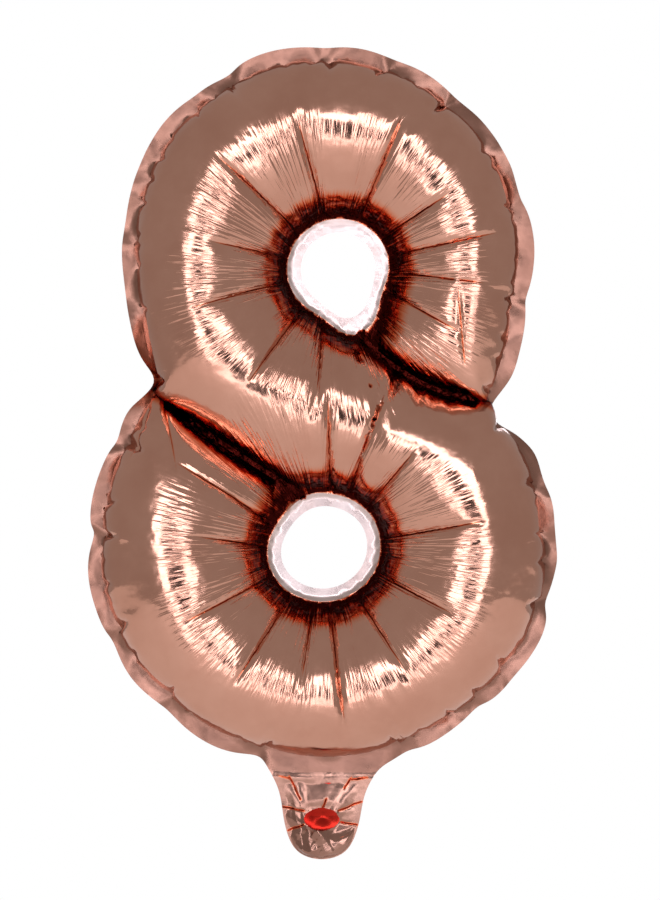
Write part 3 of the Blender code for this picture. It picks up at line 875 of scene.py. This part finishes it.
def foil(name, light, dark, roughness, comb_height):
    """Rose-gold metallised film: combed near the holes, with soft dents and scuffs, and painted shade that
    turns its folds red and dark.
    """
    nodes = Nodes(name)
    spot = nodes.add("ShaderNodeTexCoord").outputs["Object"]
    place = nodes.add("ShaderNodeSeparateXYZ", {0: spot}).outputs
    tilt = nodes.math("ADD", place[2], nodes.math("MULTIPLY", place[0], WAIST_TILT))
    upper = nodes.scaled(tilt, WAIST_Z - WAIST_BLEND, WAIST_Z + WAIST_BLEND)
    combs = {2: comb(nodes, place, "lower"), 3: comb(nodes, place, "upper")}
    height = nodes.add("ShaderNodeMix", {0: upper, **combs}).outputs[0]
    bump = nodes.bump(height, comb_height)
    bump = nodes.bump(nodes.noise(spot, 95.0, detail=2.0), DENT_HEIGHT, bump)
    bump = nodes.bump(nodes.noise(spot, 2600.0, detail=1.0), GRAIN_HEIGHT, bump, strength=0.25)
    fold_shade = nodes.add("ShaderNodeAttribute", attribute_name="fold_shade").outputs["Fac"]
    in_fold = nodes.scaled(fold_shade, 0.25, 0.80)
    crumple = nodes.math("SUBTRACT", nodes.noise(spot, 300.0, detail=1.0), 0.5)
    crumple = nodes.math("MULTIPLY", crumple, in_fold)
    bump = nodes.bump(crumple, CRUMPLE_HEIGHT, bump)
    tone = nodes.noise(spot, 38.0, detail=4.0, roughness=0.6)
    clean = nodes.colours(tone, (0.35, dark), (0.65, light))
    # Light that bounces about in a fold comes out red and dark: more than the render's few bounces carry.
    teeth_shade = nodes.math("MULTIPLY", height, nodes.scaled(fold_shade, 0.02, 0.35, 0.0, 1.1))
    deep_shade = nodes.math("MULTIPLY", crumple, 0.9)
    deep_shade = nodes.math("ADD", deep_shade, nodes.math("ADD", fold_shade, teeth_shade), clamp=True)
    mixed = {0: nodes.scaled(deep_shade, 0.10, 0.40), 6: clean, 7: nodes.colours(deep_shade, *FOLD_SHADE_COLOURS)}
    scuffs = nodes.noise(spot, 160.0, detail=3.0)
    nodes.set(
        Base_Color=nodes.add("ShaderNodeMix", mixed, data_type="RGBA").outputs[2],
        Metallic=1.0,
        Roughness=nodes.scaled(scuffs, 0.3, 0.7, roughness - 0.04, roughness + 0.05, "LINEAR"),
        Normal=bump,
    )
    return nodes.material


def milky_film():
    """The valve's soft plastic film: milky, with a faint drawn grain."""
    nodes = Nodes("valve_film_milky")
    spot = nodes.add("ShaderNodeTexCoord").outputs["Object"]
    drawn = nodes.add("ShaderNodeMapping", {"Vector": spot, "Scale": (900.0, 900.0, 90.0)}).outputs[0]
    grain = nodes.noise(drawn, 1.0, detail=2.0)
    bump = nodes.bump(grain, 0.00005, strength=0.5)
    nodes.set(
        Base_Color=nodes.colours(grain, (0.3, (0.78, 0.70, 0.67)), (0.7, (0.90, 0.86, 0.84))),
        Roughness=nodes.scaled(grain, 0.3, 0.7, 0.28, 0.42, "LINEAR"),
        Normal=bump,
    )
    return nodes.material


def paper(name, colour, glow):
    """Matt studio paper with a faint tooth, glowing this much of its own accord."""
    nodes = Nodes(name)
    spot = nodes.add("ShaderNodeTexCoord").outputs["Object"]
    tooth = nodes.noise(spot, 60.0, detail=3.0)
    nodes.set(
        Base_Color=nodes.colours(tooth, (0.3, tuple(0.98 * c for c in colour)), (0.7, colour)),
        Roughness=0.9,
        Emission_Color=(1.0, 1.0, 1.0, 1.0),
        Emission_Strength=glow,
    )
    return nodes.material


# ---------------------------------------------------------------- stage, lights and camera
def sheet_of_paper(name, points, colour, glow):
    """A flat sheet on the stage."""
    mesh = bpy.data.meshes.new(name)
    mesh.from_pydata(points, [], [tuple(range(len(points)))])
    mesh.materials.append(paper(name, colour, glow))
    made = bpy.data.objects.new(name, mesh)
    bpy.context.scene.collection.objects.link(made)
    return made


def aimed(made, place, target):
    made.location = place
    made.rotation_euler = (Vector(target) - Vector(place)).to_track_quat("-Z", "Y").to_euler()
    bpy.context.scene.collection.objects.link(made)


def softbox(name, place, width, height, radiance, target):
    """A rectangular light that looks this bright from anywhere in front of it."""
    lamp = bpy.data.lights.new(name, "AREA")
    lamp.shape, lamp.size, lamp.size_y = "RECTANGLE", width, height
    lamp.energy = radiance * math.pi * width * height
    lamp.color = (0.95, 1.0, 1.12)
    made = bpy.data.objects.new(name, lamp)
    made.visible_camera = False
    aimed(made, Vector(target) + Vector(place), target)


def make_studio():
    low, high = (Vector(corner) for corner in CAD_BOX)
    middle = (low + high) / 2
    floor = [
        (middle.x + FLOOR_RADIUS * math.cos(angle), FLOOR_RADIUS * math.sin(angle), FLOOR_Z)
        for angle in np.linspace(0, 2 * math.pi, 96, endpoint=False)
    ]
    sheet_of_paper("floor", floor, FLOOR_COLOUR, FLOOR_GLOW)
    half, y = FLAG_SIZE / 2, MIDDLE_Y - FLAG_DISTANCE
    corners = ((-half, -half), (half, -half), (half, half), (-half, half))
    corners = [(middle.x + x, y, middle.z + z) for x, z in corners]
    flag = sheet_of_paper("camera_flag", corners, FLAG_COLOUR, 0.0)
    flag.visible_camera = False

    world = bpy.data.worlds.new("studio")
    bpy.context.scene.world = world
    world.use_nodes = True
    links, tree = world.node_tree.links, world.node_tree.nodes
    room = tree["Background"]
    room.inputs["Color"].default_value = (1.0, 0.985, 0.97, 1.0)
    room.inputs["Strength"].default_value = ROOM
    # Behind the object the picture shows white paper that is lit on its own.
    seen = tree.new("ShaderNodeBackground")
    seen.inputs["Strength"].default_value = 1.0
    seen.inputs["Color"].default_value = (1.0, 1.0, 1.0, 1.0)
    either = tree.new("ShaderNodeMixShader")
    links.new(tree.new("ShaderNodeLightPath").outputs["Is Camera Ray"], either.inputs[0])
    links.new(room.outputs[0], either.inputs[1])
    links.new(seen.outputs[0], either.inputs[2])
    links.new(either.outputs[0], tree["World Output"].inputs["Surface"])
    for name, (x, y, z), width, height, radiance in SOFTBOXES:
        softbox(name, (x, y, z), width, height, radiance, middle)
        softbox(f"{name}_behind", (x, -y, z), width, height, BEHIND * radiance, middle)

    camera = bpy.data.cameras.new("camera")
    camera.sensor_width = 36.0
    camera.lens = camera.sensor_width * CAMERA_DISTANCE / FRAME_HEIGHT
    made = bpy.data.objects.new("camera", camera)
    target = middle + Vector(FRAME_OFFSET)
    aimed(made, (target.x, MIDDLE_Y - CAMERA_DISTANCE, target.z), (target.x, MIDDLE_Y, target.z))
    scene = bpy.context.scene
    scene.camera = made
    scene.view_settings.view_transform = "Standard"
    scene.cycles.max_bounces = 16
    scene.cycles.glossy_bounces = 12


FOIL = foil("rose_gold_foil", (0.84, 0.430, 0.310), (0.77, 0.375, 0.265), 0.14, 0.00075)
# Painted shade: the fused margin is a darker copy of the same foil.
MARGIN_FOIL_SHADED = foil("margin_foil_painted_shade", (0.46, 0.225, 0.165), (0.37, 0.175, 0.125), 0.30, 0.00004)
# Painted light: the rings round the holes are a paler copy of the same foil.
SEAM_FOIL_LIT = foil("fused_foil_painted_light", (0.90, 0.72, 0.68), (0.84, 0.62, 0.57), 0.30, 0.00004)
# Painted shade: the tail is a darker copy of the same foil.
TAIL_FOIL_SHADED = foil("tail_foil_painted_shade", (0.54, 0.285, 0.215), (0.42, 0.210, 0.155), 0.22, 0.00004)
# Painted shade: the inlet's lining is a deep red copy of the foil, standing in for light that bounces about
# in its pocket.
INLET_RED_SHADE = foil("inlet_foil_painted_shade", (0.66, 0.035, 0.020), (0.46, 0.016, 0.010), 0.22, 0.0002)
VALVE = milky_film()

film = inflated()
place_film(film)
make_figure(film)
make_tail(film)
make_valve()
make_studio()
